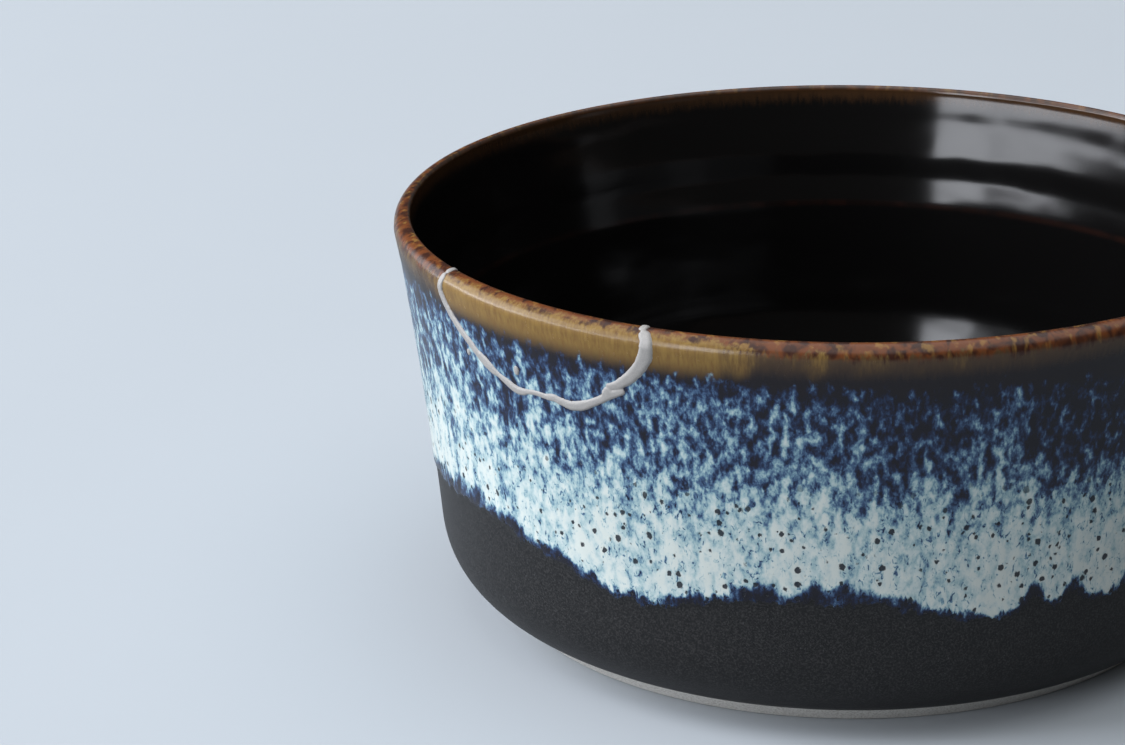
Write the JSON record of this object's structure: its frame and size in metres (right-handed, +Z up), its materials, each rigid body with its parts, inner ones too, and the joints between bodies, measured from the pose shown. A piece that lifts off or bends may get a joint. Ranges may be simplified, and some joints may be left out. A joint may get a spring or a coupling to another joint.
{
  "type": "kintsugi bowl",
  "caption": "Small glazed stoneware bowl with flared sides and a low foot, its broken rim fragment rejoined with a raised silver lacquer seam.",
  "frame": {"origin": "centre of the foot ring's underside, on the surface the bowl stands on", "axes": "+Z up along the bowl's axis; the mended rim fragment is centred on -Y; +X to the right when the mend is faced"},
  "size_m": [0.13, 0.13, 0.0593],
  "materials": {
    "streaked_glaze": "glossy stoneware glaze: amber lip, mottled blue to cream band outside, satin black below, glossy black inside, bare clay foot edge",
    "silver_lacquer": "satin silver powder on lacquer, softly uneven and raised"
  },
  "bodies": {
    "root": {"bowl_body": "streaked_glaze", "rim_shard": "streaked_glaze", "silver_seam": "silver_lacquer"}
  },
  "joints": []
}
